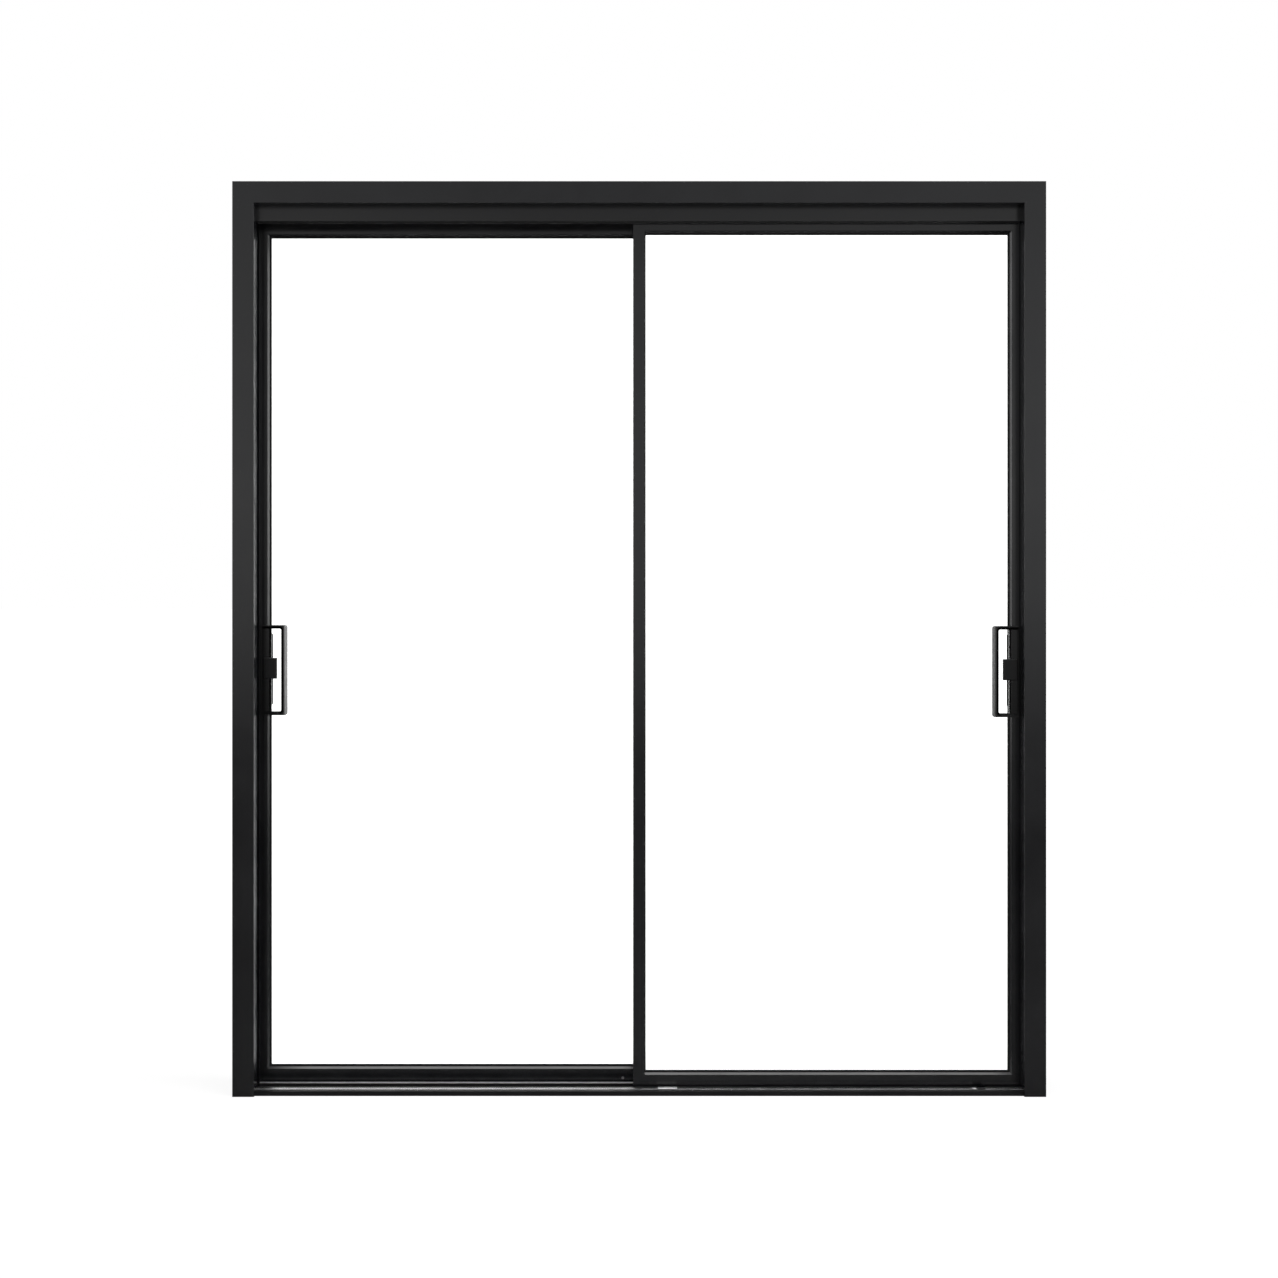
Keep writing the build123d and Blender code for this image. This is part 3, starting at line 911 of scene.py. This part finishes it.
@dataclass(frozen=True)
class FrameSet:
    """Casing, jambs, head and sill, with their seals, screws and sill fittings.

    The rib is the thickness of the rib at the back of the head and jambs, and the web that of the
    jambs' outer wall. Depths and ends of rows are in the door's own X, Y and Z.
    """

    finishes: Finishes
    edge: float = 0.5 * MM
    casing_edge: float = 0.15 * MM
    rib: float = 3.0 * MM
    web: float = 4.0 * MM
    seal: PileSeal = PileSeal()
    seal_inset: float = 6.0 * MM
    seal_foot: float = 20.0 * MM
    seal_half_length: float = 850.0 * MM
    hanging_seal: PileSeal = PileSeal(width=3.6 * MM, backing=0.6 * MM, reach=4.6 * MM, seed=11)
    screw: ScrewHead = ScrewHead()
    screw_seed: int = 3
    most_turn: float = 1.5
    jamb_screws: tuple[float, ...] = (0.18, 0.62, 1.36, 1.80)
    head_screws: tuple[float, ...] = (-0.72, -0.24, 0.24, 0.72)
    channel_middles: Pair = (-0.006, 0.042)
    keeper_screw_inset: float = 12.0 * MM
    block: TreadStop = TreadStop()
    block_ends: Pair = (0.041, 0.086)
    cover: TreadStop = TreadStop(height=0.9 * MM, ramp=1.2 * MM, overhang=3.0 * MM)
    cover_ends: Pair = (0.751, 0.770)
    clip: TreadStop = TreadStop(height=0.7 * MM, ramp=1.0 * MM)
    clip_ends: Pair = (0.741, 0.750)

    def dress(self) -> None:
        """Give the fixed CAD nodes their finishes."""
        finishes = self.finishes
        for node in ("casing_head", "casing_left", "casing_right"):
            dress(node, finishes.coat, self.casing_edge)
        for node in ("head_channel", "head_fascia", "jamb_left", "jamb_right"):
            dress(node, finishes.coat, self.edge)
        for node in ("track_front", "track_rear", "keeper_left", "keeper_right"):
            dress(node, finishes.steel)
        dress("sill", finishes.sill, self.edge)
        dress("tread_front", finishes.front_tread)
        dress("tread_middle", finishes.middle_tread)

    def add_level_seal(
        self, strips: bmesh.types.BMesh, seal: PileSeal, y: float, z: float, out: Vector
    ) -> None:
        """Add a seal along the head, at a depth and a height, with its crest facing out."""
        half = self.seal_half_length
        seal.build(strips, Vector((-half, y, z)), Vector((half, y, z)), out)

    def build_seals(self) -> None:
        """Add the pile strips that close the gaps round both channels."""
        head_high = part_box("head_channel")[1]
        fascia_low, fascia_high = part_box("head_fascia")
        strips = bmesh.new()
        hanging = fascia_high.y - 0.5 * self.hanging_seal.width
        self.add_level_seal(strips, self.hanging_seal, hanging, fascia_low.z, DOWNWARD)
        for hand in Hand:
            low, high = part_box(f"jamb_{hand.value}")
            mouth = min(abs(low.x), abs(high.x))
            x = hand.side * (mouth + self.seal_inset)
            for y, out in ((fascia_high.y, BACKWARD), (high.y - self.rib, FORWARD)):
                start = Vector((x, y, self.seal_foot))
                self.seal.build(strips, start, Vector((x, y, fascia_low.z)), out)
        for y, out in ((fascia_high.y, BACKWARD), (head_high.y - self.rib, FORWARD)):
            self.add_level_seal(strips, self.seal, y, fascia_low.z + self.seal_inset, out)
        carry("frame_pile_seals", strips, "frame", self.finishes.pile)

    def screw_places(self) -> list[tuple[Vector, Vector]]:
        """Places of the screws that fix the jambs, the head and the keepers.

        Returns:
            Centre of each head and the unit vector away from its face.
        """
        places = []
        for hand in Hand:
            low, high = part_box(f"jamb_{hand.value}")
            x = hand.side * (max(abs(low.x), abs(high.x)) - self.web)
            inward = Vector((-hand.side, 0.0, 0.0))
            for y in self.channel_middles:
                places += [(Vector((x, y, z)), inward) for z in self.jamb_screws]
        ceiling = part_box("head_fascia")[1].z
        for y in self.channel_middles:
            places += [(Vector((x, y, ceiling)), DOWNWARD) for x in self.head_screws]
        for hand in Hand:
            low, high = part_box(f"keeper_{hand.value}")
            x = hand.side * min(abs(low.x), abs(high.x))
            y = 0.5 * (low.y + high.y)
            inward = Vector((-hand.side, 0.0, 0.0))
            for z in (low.z + self.keeper_screw_inset, high.z - self.keeper_screw_inset):
                places.append((Vector((x, y, z)), inward))
        return places

    def build_screws(self) -> None:
        """Add every screw of the frame, each recess turned its own way."""
        heads = bmesh.new()
        rng = random.Random(self.screw_seed)
        for centre, out in self.screw_places():
            self.screw.build(heads, centre, out, rng.uniform(0.0, self.most_turn))
        carry("frame_screws", heads, "frame", self.finishes.steel)

    def build_sill_fittings(self) -> None:
        """Add the guide block, the weep cover and its clip on the front tread."""
        low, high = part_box("tread_front")
        metal = self.finishes.middle_tread
        fittings = (
            ("sill_guide_block", self.block, self.block_ends, metal, "tread_metal"),
            ("sill_weep_cover", self.cover, self.cover_ends, self.finishes.nylon, "guide_plastic"),
            ("sill_cover_clip", self.clip, self.clip_ends, metal, "tread_metal"),
        )
        for name, shape, ends, finish, slot in fittings:
            mesh = bmesh.new()
            shape.build(mesh, ends, low.y, high.y, high.z)
            carry(name, mesh, "frame", finish)

    def build(self) -> None:
        """Dress the frame and add its details."""
        self.dress()
        self.build_seals()
        self.build_screws()
        self.build_sill_fittings()
        log.info("frame: casing, jambs, head and sill dressed; seals, screws and sill fittings added")


@dataclass(frozen=True)
class SlidingPanel:
    """One glazed panel with its rollers and guides."""

    hand: Hand
    finishes: Finishes
    edge: float = 0.2 * MM
    seal: PileSeal = PileSeal(width=4.5 * MM, backing=0.6 * MM, seed=23)
    seal_margin: float = 2.0 * MM
    adjuster: ScrewHead = ScrewHead(radius=3.2 * MM, proud=0.3 * MM, drive=Drive.SOCKET)
    adjuster_inset: float = 26.0 * MM
    adjuster_height: float = 16.0 * MM
    adjuster_turn: float = 0.3

    def dress(self) -> None:
        """Give the panel's CAD nodes their finishes."""
        finishes = self.finishes
        for pieces, finish, edge in (
            (("lock_stile", "meeting_stile", "top_rail", "bottom_rail"), finishes.coat, self.edge),
            (("bead_front", "bead_rear"), finishes.coat, 0.0),
            (("gasket",), finishes.rubber, 0.0),
            (("glass",), finishes.glass, 0.0),
            (("roller_housing_inner", "roller_housing_outer"), finishes.nylon, 0.0),
            (("guide_inner", "guide_outer"), finishes.nylon, 0.0),
            (("roller_wheel_inner", "roller_wheel_outer"), finishes.steel, 0.0),
        ):
            for piece in pieces:
                dress(self.hand.node(piece), finish, edge)

    def build_meeting_seal(self) -> None:
        """Add the pile strip on the face of the meeting stile that looks at the other panel."""
        low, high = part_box(self.hand.node("meeting_stile"))
        face, out = (high.y, BACKWARD) if self.hand is Hand.RIGHT else (low.y, FORWARD)
        middle = 0.5 * (low.x + high.x)
        start = Vector((middle, face, low.z + self.seal_margin))
        end = Vector((middle, face, high.z - self.seal_margin))
        strip = bmesh.new()
        self.seal.build(strip, start, end, out)
        name = self.hand.node("meeting_pile")
        carry(name, strip, self.hand.body, self.finishes.pile)

    def build_adjuster(self) -> None:
        """Add the socket screw in the bottom rail that sets the inner roller's height."""
        low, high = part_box(self.hand.node("bottom_rail"))
        face, out = (high.y, BACKWARD) if self.hand is Hand.RIGHT else (low.y, FORWARD)
        x = self.hand.side * (min(abs(low.x), abs(high.x)) + self.adjuster_inset)
        centre = Vector((x, face, self.adjuster_height))
        head = bmesh.new()
        self.adjuster.build(head, centre, out, self.adjuster_turn)
        name = self.hand.node("roller_adjuster")
        carry(name, head, self.hand.body, self.finishes.steel)

    def build(self) -> None:
        """Dress the panel and add its seal and roller adjuster."""
        self.dress()
        self.build_meeting_seal()
        self.build_adjuster()
        log.info("%s panel: stiles, rails, beads, glass and rollers dressed", self.hand.value)


@dataclass(frozen=True)
class PullHandle:
    """Loop handle with its thumb latch, and the pull plate behind it, hollowed by the dish."""

    hand: Hand
    finishes: Finishes
    edge: float = 0.4 * MM
    plate_screw: ScrewHead = ScrewHead(radius=2.6 * MM, proud=0.3 * MM)
    plate_screw_inset: float = 10.0 * MM
    plate_screw_turns: Pair = (0.4, 1.1)
    dish: float = 1.2 * MM

    def dress(self) -> None:
        """Give the handle's CAD nodes their finishes."""
        coat = self.finishes.handles[self.hand]
        for piece, finish in (("handle", coat), ("pull_plate", coat), ("latch", self.finishes.latch)):
            dress(self.hand.node(piece), finish, self.edge)

    def build_plate_screws(self) -> None:
        """Add the two through screws in the dish of the pull plate."""
        low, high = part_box(self.hand.node("pull_plate"))
        x = 0.5 * (low.x + high.x)
        y = high.y - self.dish
        heights = (low.z + self.plate_screw_inset, high.z - self.plate_screw_inset)
        heads = bmesh.new()
        for z, turn in zip(heights, self.plate_screw_turns):
            self.plate_screw.build(heads, Vector((x, y, z)), BACKWARD, turn)
        name = self.hand.node("pull_plate_screws")
        carry(name, heads, self.hand.body, self.finishes.steel)

    def build(self) -> None:
        """Dress the handle and add the screws of its pull plate."""
        self.dress()
        self.build_plate_screws()
        log.info("%s handle: loop, latch and pull plate dressed", self.hand.value)


@dataclass(frozen=True)
class SoftBox:
    """A rectangular lamp that the camera doesn't see; a radiance of 1 is white."""

    name: str
    place: Triple
    width: float
    height: float
    radiance: float

    def build(self, aim: Vector) -> None:
        """Add the lamp.

        Args:
            aim: the point that it faces.
        """
        place = Vector(self.place)
        data = bpy.data.lights.new(self.name, "AREA")
        data.shape = "RECTANGLE"
        data.size = self.width
        data.size_y = self.height
        data.energy = self.radiance * self.width * self.height * math.pi
        lamp = stand(self.name, data)
        lamp.location = place
        lamp.rotation_euler = (aim - place).to_track_quat("-Z", "Y").to_euler()
        lamp.visible_camera = False


@dataclass(frozen=True)
class Studio:
    """Floor, lamps, world and camera.

    The camera and rays through glass see white. Mirrored rays see a white room behind the door,
    and in front a dark floor and a bright horizon, with a room above it that is dimmer, also in
    the middle. Glows are radiances, where 1 is white. Ranges are in parts of a ray's direction
    for the world, and in metres for the floor.
    """

    camera_place: Triple = (-0.142, -4.202, 1.227)
    lens: float = 52.75
    sensor: float = 36.0
    shift_x: float = 0.0501
    shift_y: float = -0.0759
    sight: float = 100.0
    behind_range: Pair = (-0.11, 0.1)
    height_range: Pair = (0.0, 0.38)
    room_glow: Pair = (1.15, 0.26)
    middle_range: Pair = (0.0, 0.2)
    middle_glow: float = 0.66
    fill_glow: float = 0.25
    floor_half_width: float = 30.0
    floor_colour: Colour = (0.26, 0.26, 0.26)
    floor_glow: float = 0.85
    floor_fade: Pair = (1.2, 4.0)
    front_floor_glow: float = 0.06
    under_range: Pair = (0.0, 0.4)
    far_range: Pair = (-25.0, -3.5)
    lamp_aim: Triple = (0.0, 0.0, 1.1)
    lamps: tuple[SoftBox, ...] = (
        SoftBox("top_box", (-0.1, -1.2, 4.4), width=4.4, height=1.0, radiance=6.2),
        SoftBox("left_box", (-3.6, -1.0, 1.6), width=0.7, height=2.6, radiance=2.6),
        SoftBox("right_box", (3.6, -0.9, 1.6), width=0.7, height=2.6, radiance=10.0),
    )

    def build_world(self) -> None:
        """White world for what is seen, with a darker room in front for reflections."""
        world = bpy.data.worlds.new("studio_world")
        bpy.context.scene.world = world
        world.use_nodes = True
        sheet = NodeSheet(world.node_tree, "ShaderNodeOutputWorld")
        direction = sheet.parts(sheet.node("ShaderNodeTexCoord").outputs["Generated"])
        direct, glossy = sheet.masks()
        behind = sheet.spread(direction["Y"], (0.0, 1.0), self.behind_range, eased=True)
        height = sheet.spread(direction["Z"], self.room_glow, self.height_range, eased=True)
        aside = sheet.figure(Sum.WITHOUT_SIGN, direction["X"], 0.0)
        middle = sheet.spread(aside, (self.middle_glow, 1.0), self.middle_range, eased=True)
        room = sheet.figure(Sum.MULTIPLY, height, middle)
        mirrored = sheet.figure(Sum.LARGER, behind, room)
        shown = sheet.figure(Sum.MULTIPLY, glossy, mirrored)
        others = sheet.figure(Sum.SUBTRACT, 1.0, sheet.figure(Sum.LARGER, direct, glossy))
        fill = sheet.figure(Sum.MULTIPLY, others, self.fill_glow)
        total = sheet.figure(Sum.ADD, sheet.figure(Sum.ADD, direct, shown), fill)
        white = sheet.node("ShaderNodeBackground")
        white.inputs["Color"].default_value = (1.0, 1.0, 1.0, 1.0)
        sheet.link(total, white.inputs["Strength"])
        sheet.link(white.outputs["Background"], sheet.output.inputs["Surface"])

    def build_floor(self) -> None:
        """Pale floor that keeps a soft shadow and fades into the white background."""
        half = self.floor_half_width
        corners = [(-half, -half, 0.0), (half, -half, 0.0), (half, half, 0.0), (-half, half, 0.0)]
        data = bpy.data.meshes.new("studio_floor")
        data.from_pydata(corners, [], [(0, 1, 2, 3)])
        floor = stand("studio_floor", data)
        data.materials.append(self.floor_material())

    def floor_material(self) -> bpy.types.Material:
        """Plain grey that takes the shadow, with a glow for what the camera and mirrors see.

        Returns:
            The material.
        """
        sheet = ShaderSheet("studio_floor")
        depth = sheet.parts(sheet.place)["Y"]
        reach = sheet.node("ShaderNodeVectorMath")
        reach.operation = "LENGTH"
        sheet.link(sheet.place, reach.inputs[0])
        direct, glossy = sheet.masks()
        near_glows = (self.floor_glow, 1.0)
        near = sheet.spread(reach.outputs["Value"], near_glows, self.floor_fade, eased=True)
        under_glows = (self.front_floor_glow, self.floor_glow)
        under = sheet.spread(depth, under_glows, self.under_range, eased=True)
        far = sheet.spread(depth, (self.room_glow[0], 0.0), self.far_range, eased=True)
        mirrored = sheet.figure(Sum.LARGER, under, far)
        shown = sheet.figure(Sum.MULTIPLY, direct, near)
        total = sheet.figure(Sum.ADD, shown, sheet.figure(Sum.MULTIPLY, glossy, mirrored))
        glow = sheet.node("ShaderNodeEmission")
        sheet.link(total, glow.inputs["Strength"])
        diffuse = sheet.node("ShaderNodeBsdfDiffuse")
        diffuse.inputs["Color"].default_value = (*self.floor_colour, 1.0)
        both = sheet.node("ShaderNodeAddShader")
        sheet.link(diffuse.outputs["BSDF"], both.inputs[0])
        sheet.link(glow.outputs["Emission"], both.inputs[1])
        sheet.link(both.outputs["Shader"], sheet.output.inputs["Surface"])
        return sheet.material

    def build_camera(self) -> None:
        """Camera level with the photo's, its image plane parallel to the door."""
        data = bpy.data.cameras.new("camera")
        data.lens = self.lens
        data.sensor_width = self.sensor
        data.shift_x = self.shift_x
        data.shift_y = self.shift_y
        data.clip_end = self.sight
        camera = stand("camera", data)
        camera.location = self.camera_place
        camera.rotation_euler = (math.radians(90.0), 0.0, 0.0)
        bpy.context.scene.camera = camera

    def build(self) -> None:
        """Set up the whole studio."""
        self.build_world()
        self.build_floor()
        for lamp in self.lamps:
            lamp.build(Vector(self.lamp_aim))
        self.build_camera()
        bpy.context.scene.view_settings.view_transform = "Standard"
        log.info("studio: floor, lamps, world and camera ready")


def main() -> None:
    """Build the studio and the door, piece by piece."""
    logging.basicConfig(level=logging.INFO, format="%(name)s: %(message)s")
    Studio().build()
    finishes = Finishes.make()
    FrameSet(finishes).build()
    for hand in Hand:
        SlidingPanel(hand, finishes).build()
        PullHandle(hand, finishes).build()


if __name__ == "__main__":
    main()
